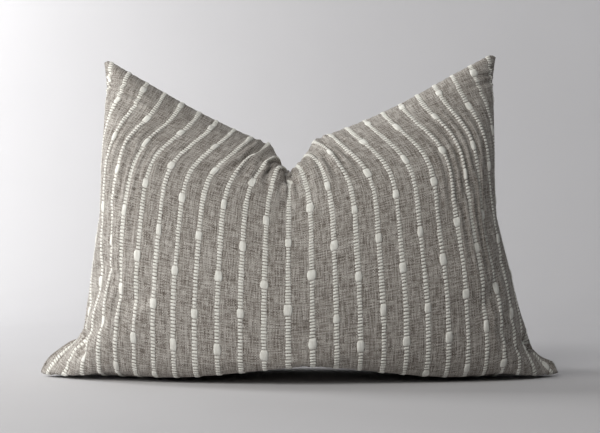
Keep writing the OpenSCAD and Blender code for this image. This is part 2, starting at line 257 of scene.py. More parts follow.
def inflateCover():
    a, b, front, back, inside = sewnGrid()
    planned = plannedPoint(a, b, cover["startFill"])
    weights = holdWeights(a, b)
    settledFront, settledBack = settleCloth(planned, planned * [1, -1, 1], weights)
    start = np.concatenate([settledFront.reshape(-1, 3), settledBack[inside]])
    faces = np.concatenate([quads(front), quads(back)[:, ::-1]])
    mesh = bpy.data.meshes.new("cloth_before")
    mesh.from_pydata(start.tolist(), [], faces.tolist())
    sewn = bpy.data.objects.new("cloth_before", mesh)
    scene.collection.objects.link(sewn)
    hold = sewn.vertex_groups.new(name="hold")
    for j, i in zip(*np.nonzero(~inside)):
        hold.add([int(front[j, i])], float(max(weights[j, i], 0.3)), "REPLACE")

    gx, gy = np.meshgrid(np.linspace(-0.4, 0.4, 81), np.linspace(-0.2, 0.2, 41))
    gz = groundUnder(gx, gy)
    ground = bpy.data.meshes.new("ground_before")
    ground.from_pydata(np.stack([gx, gy, gz], axis=-1).reshape(-1, 3).tolist(), [],
                       quads(np.arange(gx.size).reshape(gx.shape)).tolist())
    groundObject = bpy.data.objects.new("ground_before", ground)
    scene.collection.objects.link(groundObject)
    groundObject.modifiers.new("Collision", "COLLISION")
    groundObject.collision.thickness_outer = 0.001
    groundObject.collision.cloth_friction = 20

    modifier = sewn.modifiers.new("Cloth", "CLOTH")
    for key, value in wovenCotton.items():
        setattr(modifier.settings, key, value)
    modifier.settings.use_pressure = True
    modifier.settings.uniform_pressure_force = cover["pressure"]
    modifier.settings.effector_weights.gravity = 0
    modifier.settings.vertex_group_mass = "hold"
    modifier.collision_settings.use_collision = True
    modifier.collision_settings.distance_min = 0.0015
    modifier.collision_settings.use_self_collision = False
    modifier.point_cache.frame_start = 1
    modifier.point_cache.frame_end = 60

    for step in range(1, cover["frames"] + 1):
        scene.frame_set(step)
    held = sewn.evaluated_get(bpy.context.evaluated_depsgraph_get())
    points = np.empty(len(held.data.vertices) * 3)
    held.data.vertices.foreach_get("co", points)
    points = points.reshape(-1, 3)
    bpy.data.objects.remove(groundObject)
    bpy.data.objects.remove(sewn)
    scene.frame_set(1)
    return points[front], points[back]


# a denser grid through the same points, along one direction and then the other
def denserAlong(points, factor):
    count = len(points) - 1
    t = np.arange(count * factor + 1) / factor
    i = np.minimum(t.astype(int), count - 1)
    u = (t - i).reshape((-1,) + (1,) * (points.ndim - 1))
    p0, p1 = points[np.maximum(i - 1, 0)], points[i]
    p2, p3 = points[i + 1], points[np.minimum(i + 2, count)]
    return 0.5 * (2 * p1 + (p2 - p0) * u + (2 * p0 - 5 * p1 + 4 * p2 - p3) * u ** 2
                  + (3 * p1 - p0 - 3 * p2 + p3) * u ** 3)


def denser(points, factor):
    return denserAlong(denserAlong(points, factor).swapaxes(0, 1), factor).swapaxes(0, 1)


# unit normals of a grid of points that point away from the pillow's middle plane
def outward(points, side):
    normal = np.cross(np.gradient(points, axis=1), np.gradient(points, axis=0)) * side
    return normal / np.maximum(np.linalg.norm(normal, axis=-1, keepdims=True), 1e-9)


# a value from a grid at a (-1 to 1) and b (0 to 1)
def sampleGrid(grid, a, b):
    rows, columns = grid.shape[0] - 1, grid.shape[1] - 1
    u, v = (np.asarray(a) + 1) / 2 * columns, np.asarray(b) * rows
    i, j = np.clip(u.astype(int), 0, columns - 1), np.clip(v.astype(int), 0, rows - 1)
    u, v = (u - i)[..., None], (v - j)[..., None]
    return mix(mix(grid[j, i], grid[j, i + 1], u), mix(grid[j + 1, i], grid[j + 1, i + 1], u), v)


def gridAB(rows, columns):
    return np.meshgrid(np.linspace(-1, 1, columns), np.linspace(0, 1, rows))


def makePiece(name, points, faces, node, slot, material, flat=None):
    mesh = bpy.data.meshes.new(name)
    mesh.from_pydata(np.asarray(points).reshape(-1, 3).tolist(), [], faces)
    mesh.shade_smooth()
    piece = bpy.data.objects.new(name, mesh)
    scene.collection.objects.link(piece)
    if flat is not None:
        corners = np.empty(len(mesh.loops), dtype=np.int32)
        mesh.loops.foreach_get("vertex_index", corners)
        mesh.uv_layers.new(name="fabric").data.foreach_set("uv", flat[corners].ravel())
    mesh.materials.append(material)
    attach(piece, body)
    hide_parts(node)
    return piece


# the border of a grid as rows and columns, once round from the lower left corner
def borderOf(rows, columns):
    across, up = np.arange(columns), np.arange(rows)
    j = np.concatenate([0 * across[:-1], up[:-1], 0 * across[1:] + rows - 1, up[:0:-1]])
    i = np.concatenate([across[:-1], 0 * up[:-1] + columns - 1, across[:0:-1], 0 * up[1:]])
    return j, i


# a closed tube along points; turns and frames are kept plain because no cord here is tightly bent
def tubeParts(points, radius, sides, closed=False):
    points = np.asarray(points)
    if closed:
        along = np.roll(points, -1, axis=0) - np.roll(points, 1, axis=0)
    else:
        along = np.gradient(points, axis=0)
    along /= np.maximum(np.linalg.norm(along, axis=1, keepdims=True), 1e-9)
    across = np.cross(along, [0.05, 1.0, 0.02])
    across /= np.maximum(np.linalg.norm(across, axis=1, keepdims=True), 1e-9)
    third = np.cross(along, across)
    angle = np.arange(sides) * 2 * np.pi / sides
    radius = np.broadcast_to(radius, len(points))[:, None, None]
    ring = np.cos(angle)[None, :, None] * across[:, None] + np.sin(angle)[None, :, None] * third[:, None]
    verts = (points[:, None] + radius * ring).reshape(-1, 3)
    count = len(points)
    faces = []
    for k in range(count if closed else count - 1):
        here, after = k * sides, (k + 1) % count * sides
        for m in range(sides):
            faces.append((here + m, here + (m + 1) % sides, after + (m + 1) % sides, after + m))
    if not closed:
        faces += [tuple(range(sides))[::-1], tuple((count - 1) * sides + m for m in range(sides))]
    return verts, faces


# node helpers for the materials
class Tree:
    def __init__(self, tree):
        self.tree = tree

    def add(self, kind, settings=None, **inputs):
        node = self.tree.nodes.new(kind)
        for key, value in (settings or {}).items():
            setattr(node, key, value)
        for key, value in inputs.items():
            socket = node.inputs[int(key[1:])] if key[0] == "n" and key[1:].isdigit() else node.inputs[key]
            if isinstance(value, bpy.types.NodeSocket):
                self.link(value, socket)
            else:
                socket.default_value = value
        return node

    def link(self, value, socket):
        self.tree.links.new(value, socket)

    def maths(self, operation, first, second=0.0, third=0.0):
        return self.add("ShaderNodeMath", dict(operation=operation), n0=first, n1=second, n2=third).outputs[0]

    def noise(self, place, stretch, detail=2.0, roughness=0.55):
        grown = self.add("ShaderNodeVectorMath", dict(operation="MULTIPLY"), n0=place, n1=stretch).outputs[0]
        node = self.add("ShaderNodeTexNoise", None, Vector=grown, Scale=1.0, Detail=detail, Roughness=roughness)
        return node.outputs["Fac"]

    def remap(self, value, low, high, newLow=0.0, newHigh=1.0):
        node = self.add("ShaderNodeMapRange", dict(interpolation_type="SMOOTHSTEP"), n0=value, n1=low, n2=high,
                        n3=newLow, n4=newHigh)
        return node.outputs[0]

    def blendColour(self, share, first, second, mode="MIX"):
        node = self.add("ShaderNodeMix", dict(data_type="RGBA", blend_type=mode), n0=share, n6=first, n7=second)
        return node.outputs[2]


def newGroup(name, inputs, outputs):
    group = bpy.data.node_groups.new(name, "ShaderNodeTree")
    for label, kind, value in inputs:
        socket = group.interface.new_socket(name=label, in_out="INPUT", socket_type=kind)
        if value is not None:
            socket.default_value = value
    for label, kind in outputs:
        group.interface.new_socket(name=label, in_out="OUTPUT", socket_type=kind)
    tree = Tree(group)
    start, end = tree.add("NodeGroupInput"), tree.add("NodeGroupOutput")
    return tree, start.outputs, end.inputs


# plain weave of uneven threads: the crossing threads as a height, and how light each place is
def buildWeaveGroup():
    tree, given, out = newGroup("plainWeave", (
        ("Place", "NodeSocketVector", None), ("Thread", "NodeSocketFloat", 0.0011),
        ("Uneven", "NodeSocketFloat", 0.5)), (("Height", "NodeSocketFloat"), ("Over", "NodeSocketFloat"),
                                              ("Warp", "NodeSocketFloat"), ("Slub", "NodeSocketFloat")))
    wander = tree.noise(given["Place"], (90.0, 90.0, 90.0), 2.0)
    off = tree.maths("MULTIPLY", tree.maths("SUBTRACT", wander, 0.5), tree.maths("MULTIPLY", given["Uneven"], 0.004))
    axes = tree.add("ShaderNodeSeparateXYZ", None, n0=given["Place"]).outputs
    turns = tree.maths("DIVIDE", math.pi, given["Thread"])
    u = tree.maths("SINE", tree.maths("MULTIPLY", tree.maths("ADD", axes[0], off), turns))
    v = tree.maths("SINE", tree.maths("MULTIPLY", tree.maths("ADD", axes[1], off), turns))
    # a warp thread shows where the two waves have one sign, a weft thread where they differ
    crossing = tree.maths("MULTIPLY", u, v)
    over = tree.remap(crossing, -0.12, 0.12)
    roundU = tree.maths("SQRT", tree.maths("ABSOLUTE", u))
    roundV = tree.maths("SQRT", tree.maths("ABSOLUTE", v))
    height = tree.maths("ADD", tree.maths("MULTIPLY", over, roundU),
                        tree.maths("MULTIPLY", tree.maths("SUBTRACT", 1.0, over), roundV))
    tree.link(height, out["Height"])
    tree.link(over, out["Over"])
    # uneven warp runs up the cloth, and uneven weft across it
    warp = tree.remap(tree.noise(given["Place"], (780.0, 70.0, 60.0), 2.0, 0.6), 0.3, 0.7)
    weft = tree.remap(tree.noise(given["Place"], (90.0, 780.0, 60.0), 2.0, 0.6), 0.3, 0.7)
    tree.link(warp, out["Warp"])
    tree.link(weft, out["Slub"])
    return tree.tree


# loose fibres that lie along a yarn
def buildFibreGroup():
    tree, given, out = newGroup("yarnFibre", (
        ("Place", "NodeSocketVector", None), ("Fineness", "NodeSocketFloat", 1.0)),
        (("Height", "NodeSocketFloat"), ("Tone", "NodeSocketFloat")))
    place = tree.add("ShaderNodeVectorMath", dict(operation="SCALE"), n0=given["Place"],
                     Scale=given["Fineness"]).outputs[0]
    fine = tree.noise(place, (2600.0, 700.0, 2600.0), 3.0, 0.65)
    broad = tree.noise(place, (420.0, 160.0, 420.0), 2.0, 0.5)
    height = tree.maths("ADD", tree.maths("MULTIPLY", fine, 0.7), tree.maths("MULTIPLY", broad, 0.5))
    tree.link(height, out["Height"])
    tree.link(tree.remap(broad, 0.3, 0.7), out["Tone"])
    return tree.tree


weaveGroup = buildWeaveGroup()
fibreGroup = buildFibreGroup()


def newMaterial(name, roughness, sheen=0.0, specular=0.3):
    material = bpy.data.materials.new(name)
    material.use_nodes = True
    tree = Tree(material.node_tree)
    shader = material.node_tree.nodes["Principled BSDF"]
    shader.inputs["Roughness"].default_value = roughness
    shader.inputs["Sheen Weight"].default_value = sheen
    shader.inputs["Sheen Roughness"].default_value = 0.5
    shader.inputs["Specular IOR Level"].default_value = specular
    return material, tree, shader


def raised(tree, shader, height, strength, distance):
    bump = tree.add("ShaderNodeBump", None, Height=height, Strength=strength, Distance=distance)
    tree.link(bump.outputs[0], shader.inputs["Normal"])


# place on the cloth as it was cut, in metres
def fabricPlace(tree):
    return tree.add("ShaderNodeUVMap", dict(uv_map="fabric")).outputs[0]


def objectPlace(tree):
    return tree.add("ShaderNodeTexCoord").outputs["Object"]


linen = dict(
    dark=(0.130, 0.108, 0.090, 1),
    middle=(0.375, 0.345, 0.310, 1),
    pale=(0.700, 0.672, 0.625, 1),
    fleck=(0.075, 0.050, 0.036, 1),
    thread=0.0012,
    bumpDistance=0.0005,
)


def buildLinen():
    material, tree, shader = newMaterial("heatherLinen", 0.92, sheen=0.1, specular=0.2)
    place = fabricPlace(tree)
    weave = tree.add("ShaderNodeGroup", dict(node_tree=weaveGroup), Place=place, Thread=linen["thread"], Uneven=0.35)
    height, over, warp, slub = (weave.outputs[k] for k in ("Height", "Over", "Warp", "Slub"))
    # each thread has its own tone, warp up the cloth and weft across it
    tone = tree.add("ShaderNodeMix", None, n0=over, n2=slub, n3=warp).outputs[0]
    colour = tree.blendColour(tree.remap(tone, 0.0, 0.5), linen["dark"], linen["middle"])
    colour = tree.blendColour(tree.remap(tone, 0.45, 1.0, 0.0, 0.9), colour, linen["pale"])
    # broad light streaks up the cloth and slubs across it
    streak = tree.remap(tree.noise(place, (260.0, 14.0, 60.0), 2.0, 0.6), 0.52, 0.72, 0.0, 0.42)
    colour = tree.blendColour(streak, colour, linen["pale"])
    dash = tree.remap(tree.noise(place, (55.0, 620.0, 60.0), 1.5), 0.6, 0.72, 0.0, 0.5)
    colour = tree.blendColour(dash, colour, linen["pale"])
    # painted shade: the hollows between threads are darkened
    paintedHollowShade = tree.remap(height, 0.15, 0.7, 0.6, 0.0)
    colour = tree.blendColour(paintedHollowShade, colour, linen["dark"])
    fleck = tree.remap(tree.noise(place, (330.0, 520.0, 60.0), 1.0), 0.72, 0.76, 0.0, 0.8)
    colour = tree.blendColour(fleck, colour, linen["fleck"])
    tree.link(colour, shader.inputs["Base Color"])
    lump = tree.maths("ADD", tree.maths("MULTIPLY", height, 0.6), tree.maths("MULTIPLY", tone, 0.5))
    raised(tree, shader, lump, 0.9, linen["bumpDistance"])
    tree.link(tree.remap(tone, 0.0, 1.0, 0.95, 0.84), shader.inputs["Roughness"])
    return material


def buildYarn(name, colour, shade, fineness, useFabric, sheen=0.15):
    material, tree, shader = newMaterial(name, 0.88, sheen=sheen, specular=0.2)
    place = fabricPlace(tree) if useFabric else objectPlace(tree)
    fibre = tree.add("ShaderNodeGroup", dict(node_tree=fibreGroup), Place=place, Fineness=fineness)
    tree.link(tree.blendColour(fibre.outputs["Tone"], shade, colour), shader.inputs["Base Color"])
    tree.link(tree.remap(fibre.outputs["Tone"], 0.0, 1.0, 0.95, 0.82), shader.inputs["Roughness"])
    raised(tree, shader, fibre.outputs["Height"], 0.6, 0.0004)
    return material


def buildWovenTrim(name, colour, shade, thread, useFabric):
    material, tree, shader = newMaterial(name, 0.8, sheen=0.1, specular=0.25)
    place = fabricPlace(tree) if useFabric else objectPlace(tree)
    weave = tree.add("ShaderNodeGroup", dict(node_tree=weaveGroup), Place=place, Thread=thread, Uneven=0.1)
    # painted shade: the low places between the threads take the darker colour, with a little real unevenness from the
    # warp
    share = tree.remap(weave.outputs["Height"], 0.2, 0.9)
    share = tree.maths("MULTIPLY", share, tree.remap(weave.outputs["Warp"], 0.0, 1.0, 0.85, 1.0))
    tree.link(tree.blendColour(share, shade, colour), shader.inputs["Base Color"])
    tree.link(tree.remap(share, 0.0, 1.0, 0.9, 0.72), shader.inputs["Roughness"])
    raised(tree, shader, weave.outputs["Height"], 0.5, thread * 0.3)
    return material


# moulded nylon and enamelled zinc: a smooth skin with fine grain and slight rubbing
def buildHardTrim(name, colour, worn, roughness, coat):
    material, tree, shader = newMaterial(name, roughness, specular=0.5)
    place = objectPlace(tree)
    grain = tree.noise(place, (1800.0, 1800.0, 1800.0), 3.0, 0.6)
    rubbed = tree.remap(tree.noise(place, (240.0, 240.0, 240.0), 4.0, 0.6), 0.6, 0.74, 0.0, 0.5)
    tree.link(tree.blendColour(rubbed, colour, worn), shader.inputs["Base Color"])
    tree.link(tree.remap(grain, 0.3, 0.7, roughness - 0.08, roughness + 0.12), shader.inputs["Roughness"])
    shader.inputs["Coat Weight"].default_value = coat
    shader.inputs["Coat Roughness"].default_value = 0.3
    raised(tree, shader, grain, 0.15, 0.0001)
    return material


print("materials: linen, yarns, threads, tape, coil, metal, casing, fibre, label")
linenCloth = buildLinen()
slubYarn = buildYarn("slubYarn", (0.90, 0.90, 0.84, 1), (0.74, 0.73, 0.67, 1), 1.0, True)
seamThread = buildYarn("seamThread", (0.24, 0.21, 0.18, 1), (0.14, 0.12, 0.10, 1), 2.5, False)
overlockThread = buildYarn("overlockThread", (0.72, 0.70, 0.66, 1), (0.5, 0.48, 0.44, 1), 2.5, False)
fillFibre = buildYarn("fillFibre", (0.86, 0.85, 0.82, 1), (0.66, 0.65, 0.62, 1), 0.35, False)
casingCloth = buildWovenTrim("casingCotton", (0.82, 0.81, 0.78, 1), (0.6, 0.59, 0.56, 1), 0.0004, True)
labelCloth = buildWovenTrim("labelRibbon", (0.84, 0.84, 0.82, 1), (0.66, 0.66, 0.64, 1), 0.0003, True)
tapeCloth = buildWovenTrim("zipTapeCloth", (0.22, 0.19, 0.165, 1), (0.09, 0.075, 0.065, 1), 0.0006, False)
coilNylon = buildHardTrim("zipNylon", (0.2, 0.172, 0.148, 1), (0.3, 0.27, 0.24, 1), 0.42, 0.0)
zipEnamel = buildHardTrim("zipEnamel", (0.19, 0.165, 0.145, 1), (0.42, 0.4, 0.38, 1), 0.34, 0.35)

# the cover's cloth
cloth = dict(
    finer=2,
    thick=0.0009,
    seamGap=0.0005,       # half the gap between the panels in the seam
    allowance=0.010,      # cloth turned in at the seams
    cornerTrim=0.7,       # share of the allowance clipped off at the corners
    rollGap=0.0016,       # the two rolls in the chop don't touch
    pucker=0.0004,
    puckerLong=0.0085,
    puckerWide=0.012,
)

print("cloth: inflating the cover")
simulated = inflateCover()


# folds pressed into the front: from, to (x, z), half width and depth
frontCreases = (
    ((-0.022, 0.222), (-0.0115, 0.206), 0.0022, 0.006),
    ((-0.0115, 0.206), (-0.0108, 0.194), 0.0022, 0.012),
    ((-0.219, 0.056), (-0.216, 0.028), 0.005, 0.007),
    ((0.226, 0.040), (0.236, 0.030), 0.005, 0.008),
)
backCreases = (
    ((0.020, 0.220), (0.010, 0.204), 0.004, 0.006),
    ((0.010, 0.206), (0.009, 0.190), 0.005, 0.009),
    ((0.214, 0.050), (0.218, 0.026), 0.006, 0.006),
)


def pressCreases(points, side, creases):
    normals = outward(points, side)
    facing = smooth((-side * normals[..., 1] - 0.05) / 0.3)
    place = points[..., ::2]
    for start, end, wide, deep in creases:
        start, end = np.array(start), np.array(end)
        share = np.clip(((place - start) @ (end - start)) / ((end - start) @ (end - start)), 0, 1)
        away = np.linalg.norm(place - start - share[..., None] * (end - start), axis=-1)
        dent = deep * np.exp(-(away / wide) ** 2) * facing
        points = points - normals * dent[..., None]
    return points


# a panel's outer face from the cloth simulation, finer and with its seam gathered a little
def finishFace(points, side):
    fine = pressCreases(denser(points, cloth["finer"]), side, frontCreases if side > 0 else backCreases)
    rows, columns = fine.shape[:2]
    a, b = gridAB(rows, columns)
    fromSide = (1 - abs(a)) * cover["flatWidth"] / 2
    fromEnd = np.minimum(b, 1 - b) * cover["flatHeight"]
    edge = np.minimum(fromSide, fromEnd)
    near = np.exp(-(edge / cloth["puckerWide"]) ** 2) * (1 - np.exp(-(edge / 0.002) ** 2))
    along = np.where(fromSide < fromEnd, b * cover["flatHeight"], a * cover["flatWidth"] / 2)
    wave = np.sin(2 * np.pi * along / cloth["puckerLong"] + 2.1 * np.sin(along * 97) + side)
    away = fine + outward(fine, side) * (near * wave * cloth["pucker"])[..., None]
    inChop = chopShare(away[..., 0]) * smooth((b - 0.8) / 0.08)
    gap = cloth["rollGap"] * smooth(edge / 0.012) * inChop
    away[..., 1] = np.where(inChop > 0, np.where(side > 0, np.minimum(away[..., 1], -gap),
                                                 np.maximum(away[..., 1], gap)), away[..., 1])
    return away


frontFace = finishFace(simulated[0], 1)
backFace = finishFace(simulated[1], -1)
seamFace = (frontFace + backFace) / 2
faceRows, faceColumns = frontFace.shape[:2]
faceA, faceB = gridAB(faceRows, faceColumns)
borderJ, borderI = borderOf(faceRows, faceColumns)


# unit steps from the seam towards the pillow's middle, in the seam's own surface
def inwardSteps(a, b):
    sideways = smooth(1 - (1 - abs(a)) / 0.04) * -np.sign(a)
    upright = smooth(1 - b / 0.05) - smooth(1 - (1 - b) / 0.05)
    step = np.stack([sideways, 0 * a, upright], axis=-1)
    return step / np.maximum(np.linalg.norm(step, axis=-1, keepdims=True), 1e-9)


def panelPiece(name, face, side, node):
    thick, gap, long = cloth["thick"], cloth["seamGap"], cloth["allowance"]
    normals = outward(face, side)
    outer = face.copy()
    toward = np.array([0.0, -side, 0.0])
    outer[borderJ, borderI] += toward * gap
    inner = face - normals * thick
    a, b = faceA[borderJ, borderI], faceB[borderJ, borderI]
    inward = inwardSteps(a, b)
    cornered = np.maximum(smooth((abs(a) - 0.88) / 0.12), 0) * smooth((abs(b - 0.5) - 0.4) / 0.1)
    length = (long * (1 - cloth["cornerTrim"] * cornered))[:, None]
    pressed = ((b == 0) * (1 - np.clip((abs(a) - cover["zipShare"]) / 0.03, 0, 1)))[:, None]
    up = np.array([0.0, 0.0, 1.0])
    seam = face[borderJ, borderI] + toward * gap
    shut = [seam + inward * length, seam + inward * length + toward * thick, seam + inward * thick + toward * thick]
    opened = [seam + up * 2 * thick, seam + up * 2 * thick + toward * long, seam + up * thick + toward * long]
    hems = [mix(p, q, pressed) for p, q in zip(shut, opened)]
    closed = seam + (inward + toward) * thick * 1.4
    inner[borderJ, borderI] = mix(closed, seam + (up + toward) * thick, pressed)
    count = face.shape[0] * face.shape[1]
    index = np.arange(count).reshape(face.shape[:2])
    ring = len(borderJ)
    faces = np.concatenate([quads(index), quads(index + count)[:, ::-1]])
    loops = [index[borderJ, borderI]] + [2 * count + k * ring + np.arange(ring) for k in range(3)]
    loops.append(index[borderJ, borderI] + count)
    for first, second in zip(loops, loops[1:]):
        after = np.roll(first, -1), np.roll(second, -1)
        faces = np.concatenate([faces, np.stack([first, second, after[1], after[0]], axis=1)])
    if side < 0:
        faces = faces[:, ::-1]
    points = np.concatenate([outer.reshape(-1, 3), inner.reshape(-1, 3)] + hems)
    flat = np.stack([(faceA + 1) / 2 * cover["flatWidth"], faceB * cover["flatHeight"]], axis=-1)
    if side < 0:
        flat[..., 0] += 0.7
    edgeFlat = flat[borderJ, borderI]
    flats = np.concatenate([flat.reshape(-1, 2), flat.reshape(-1, 2)] + [edgeFlat + k * 0.003 for k in (3, 3, 1)])
    piece = makePiece(name, points, faces.tolist(), node, "linen_cloth", linenCloth, flats)
    return piece


print("cover: panels with their turned-in edges")
panelPiece("frontPanel", frontFace, 1, "cover_front_panel")
panelPiece("backPanel", backFace, -1, "cover_back_panel")

# thick and thin yarns, tied down by the weft at each pinch
yarn = dict(
    stripes=26,
    pitch=0.0030,
    halfWide=0.0024,
    high=0.0006,
    sunk=0.0009,          # how far a tied place dips into the cloth
    nubEvery=0.068,
    nubStart=-0.012,
    nubRise=0.012,        # the slubs lie higher in the middle, where the chop drags the cloth down
    nubLong=0.0105,
    nubHalfWide=0.0036,
    nubHigh=0.0009,
    uneven=0.09,
    slowUneven=0.16,
    wander=0.00022,
    endGap=0.0008,        # bare length next to the seams
)
# a dash's profile: place along it, share of its width, share of its height
dashRings = ((0.0, 0.8, 0.0), (0.22, 0.94, 0.55), (0.34, 1.0, 1.0), (0.66, 1.0, 1.0), (0.78, 0.94, 0.55))
nubRings = ((0.0, 0.7, 0.0), (0.07, 0.78, 0.5), (0.2, 0.97, 0.9), (0.45, 1.04, 1.0), (0.75, 0.98, 0.95),
            (0.93, 0.78, 0.5))
# a yarn's section: place across it, and share of its height
yarnSection = ((-0.9, -0.5), (-1.0, 0.3), (-0.75, 0.9), (0.0, 1.0), (0.75, 0.9), (1.0, 0.3), (0.9, -0.5))


def yarnRings(rng, stripe):
    length = cover["flatHeight"]
    place = yarn["endGap"]
    fromMiddle = abs((2 * stripe + 1) / yarn["stripes"] - 1)
    nub = yarn["nubStart"] + yarn["nubRise"] * (1 - smooth(fromMiddle / 0.2)) + rng.uniform(-0.002, 0.002)
    nub = (nub + (stripe % 2) * yarn["nubEvery"] / 2) % yarn["nubEvery"]
    rings = []
    while place < length - yarn["endGap"] - yarn["pitch"]:
        if place > nub - yarn["nubLong"] / 2:
            long = yarn["nubLong"] * rng.uniform(0.85, 1.15)
            wide = yarn["nubHalfWide"] * rng.uniform(0.82, 1.12)
            high = yarn["nubHigh"] * rng.uniform(0.85, 1.15)
            nub += yarn["nubEvery"] + rng.uniform(-0.0035, 0.0035)
            lean = rng.uniform(-1, 1) * yarn["wander"]
            for t, w, h in nubRings:
                shift = lean + rng.uniform(-1, 1) * yarn["wander"]
                rings.append((place + t * long, w * wide * rng.uniform(0.9, 1.08), h * high, shift))
            place += long
            continue
        long = yarn["pitch"] * rng.uniform(0.88, 1.14)
        slow = math.sin(place * 61 + stripe * 2.3) * math.sin(place * 23 + stripe * 1.1)
        wide = yarn["halfWide"] * (1 + slow * yarn["slowUneven"] + rng.uniform(-1, 1) * yarn["uneven"])
        high = yarn["high"] * rng.uniform(0.75, 1.2)
        lean = rng.uniform(-1, 1) * yarn["wander"]
        for t, w, h in dashRings:
            rings.append((place + t * long, w * wide, h * high, lean))
        place += long
    rings.append((place, 0.3 * yarn["halfWide"], 0.0, 0.0))
    return np.array(rings)


def yarnPiece(name, face, side, node, seed):
    rng = np.random.default_rng(seed)
    normals = outward(face, side)
    points, flats, faces, base = [], [], [], 0
    across, lift = np.array(yarnSection).T
    count = len(across)
    for stripe in range(yarn["stripes"]):
        rings = yarnRings(rng, stripe)
        b = rings[:, 0] / cover["flatHeight"]
        middle = (2 * stripe + 1) / yarn["stripes"] - 1
        a = middle + (rings[:, 3:4] + rings[:, 1:2] * across[None]) * 2 / cover["flatWidth"]
        b = np.broadcast_to(b[:, None], a.shape)
        a = np.clip(a, -1, 1)
        rise = rings[:, 2:3] * lift[None] - yarn["sunk"] * (rings[:, 2:3] == 0)
        place = sampleGrid(face, a, b) + sampleGrid(normals, a, b) * rise[..., None]
        points.append(place.reshape(-1, 3))
        flats.append(np.stack([(a + 1) / 2 * cover["flatWidth"], b * cover["flatHeight"]], axis=-1).reshape(-1, 2))
        ringCount = len(rings)
        k = base + np.arange(ringCount - 1)[:, None] * count + np.arange(count)[None]
        after = base + np.arange(ringCount - 1)[:, None] * count + (np.arange(count)[None] + 1) % count
        faces += np.stack([k, after, after + count, k + count], axis=-1).reshape(-1, 4)[:, ::side].tolist()
        ends = [tuple(range(base, base + count))[::-side],
                tuple(range(base + (ringCount - 1) * count, base + ringCount * count))[::side]]
        faces += ends
        base += ringCount * count
    return makePiece(name, np.concatenate(points), faces, node, "slub_yarn", slubYarn, np.concatenate(flats))


print("cover: slub yarns")
yarnPiece("frontSlubYarns", frontFace, 1, "front_slub_yarns", 11)
yarnPiece("backSlubYarns", backFace, -1, "back_slub_yarns", 12)

# stitching inside the edge
stitching = dict(
    inside=0.0012,        # lockstitch: distance in from the edge
    radius=0.00017,
    wide=0.0003,          # how far it weaves to each side
    loopLong=0.0032,
    step=0.0008,          # distance between the cord's rings
    reach=0.9,            # share of the lower seam's half that stays open for the zip
    overlockIn=0.0112,
    overlockRadius=0.00025,
    overlockWide=0.0009,
    overlockLong=0.0035,
    overlockStep=0.0006,
)


# the sewn part of the seam as a line: up one side, over the top and down the other
def sewnLine(inside, wide, loopLong, step, limit):
    a = np.concatenate([np.linspace(limit, 1, 12), np.ones(120), np.linspace(1, -1, 220), -np.ones(120),
                        np.linspace(-1, -limit, 12)])
    b = np.concatenate([np.zeros(12), np.linspace(0, 1, 120), np.ones(220), np.linspace(1, 0, 120), np.zeros(12)])
    line = sampleGrid(seamFace, a, b)
    inward = inwardSteps(a, b)
    corner = smooth((abs(a) - 0.9) / 0.1) * smooth((abs(b - 0.5) - 0.42) / 0.08)
    line = line + inward * (inside * (1 - 0.5 * corner))[:, None]
    run = np.concatenate([[0], np.cumsum(np.linalg.norm(np.diff(line, axis=0), axis=1))])
    places = np.arange(0, run[-1], step)
    fine = np.stack([np.interp(places, run, line[:, k]) for k in range(3)], axis=-1)
    way = np.stack([np.interp(places, run, inward[:, k]) for k in range(3)], axis=-1)
    turn = 2 * np.pi * places / loopLong
    return fine + way * (wide * np.cos(turn))[:, None] + np.array([0, 1.0, 0]) * (wide * np.sin(turn))[:, None]


print("seams: lockstitch and overlock")
lockstitch = sewnLine(stitching["inside"], stitching["wide"], stitching["loopLong"], stitching["step"],
                      stitching["reach"])
overlock = sewnLine(stitching["overlockIn"], stitching["overlockWide"], stitching["overlockLong"],
                    stitching["overlockStep"], stitching["reach"])
makePiece("coverSeamThread", *tubeParts(lockstitch, stitching["radius"], 4),
          "cover_seam_thread", "sewing_thread", seamThread)
makePiece("coverOverlock", *tubeParts(overlock, stitching["overlockRadius"], 4),
          "cover_overlock_thread", "overlock_thread", overlockThread)

# the insert follows the cover from inside
insert = dict(
    inset=0.0145,
    clear=0.0034,
    casingThick=0.0005,
    fillClear=0.0008,
    taperA=0.06,
    taperB=0.085,
    rows=57,
    columns=91,
    cut=(0.27, 0.33),     # half the casing's width and its height, laid flat
    labelA=(0.60, 0.70),
    labelB=(0.40, 0.56),
)


# a shell inside the cover's panel, joined to the other half at its own seam
def innerFace(face, side, clear, inset):
    a, b = gridAB(insert["rows"], insert["columns"])
    normals = outward(face, side)
    across, up = sampleGrid(face, a, b), sampleGrid(seamFace, a, b)
    offset = across - sampleGrid(normals, a, b) * clear
    half = np.maximum(abs(sampleGrid(seamFace, np.sign(a) + (a == 0), b)[..., 0]), 0.1)
    seam = up.copy()
    seam[..., 0] *= 1 - inset / half
    seam[..., 2] += inset * (1 - 2 * b)
    seam[..., 1] = 0
    # the insert stops short of the ears
    edgeX, edgeZ = abs(seamFace[:, [0, -1], 0]), seamFace[:, [0, -1], 2]
    for points in (seam, offset):
        near = abs(points[..., None, 2] - edgeZ[:, 0]) < 0.012
        left = np.where(near, edgeX[:, 0], 1).min(axis=-1)
        near = abs(points[..., None, 2] - edgeZ[:, 1]) < 0.012
        right = np.where(near, edgeX[:, 1], 1).min(axis=-1)
        room = inset * (0.55 if points is offset else 0.95)
        points[..., 0] = np.clip(points[..., 0], room - left, right - room)
    share = np.minimum((1 - abs(a)) / insert["taperA"], np.minimum(b, 1 - b) / insert["taperB"])
    share = np.sin(np.pi / 2 * np.clip(share, 0, 1))[..., None]
    return mix(seam, offset, share)


def shellFaces(index, inner, ringPairs):
    faces = np.concatenate([quads(index), quads(inner)[:, ::-1]])
    for first, second in ringPairs:
        faces = np.concatenate([faces, np.stack([first, second, np.roll(second, -1), np.roll(first, -1)], axis=1)])
    return faces


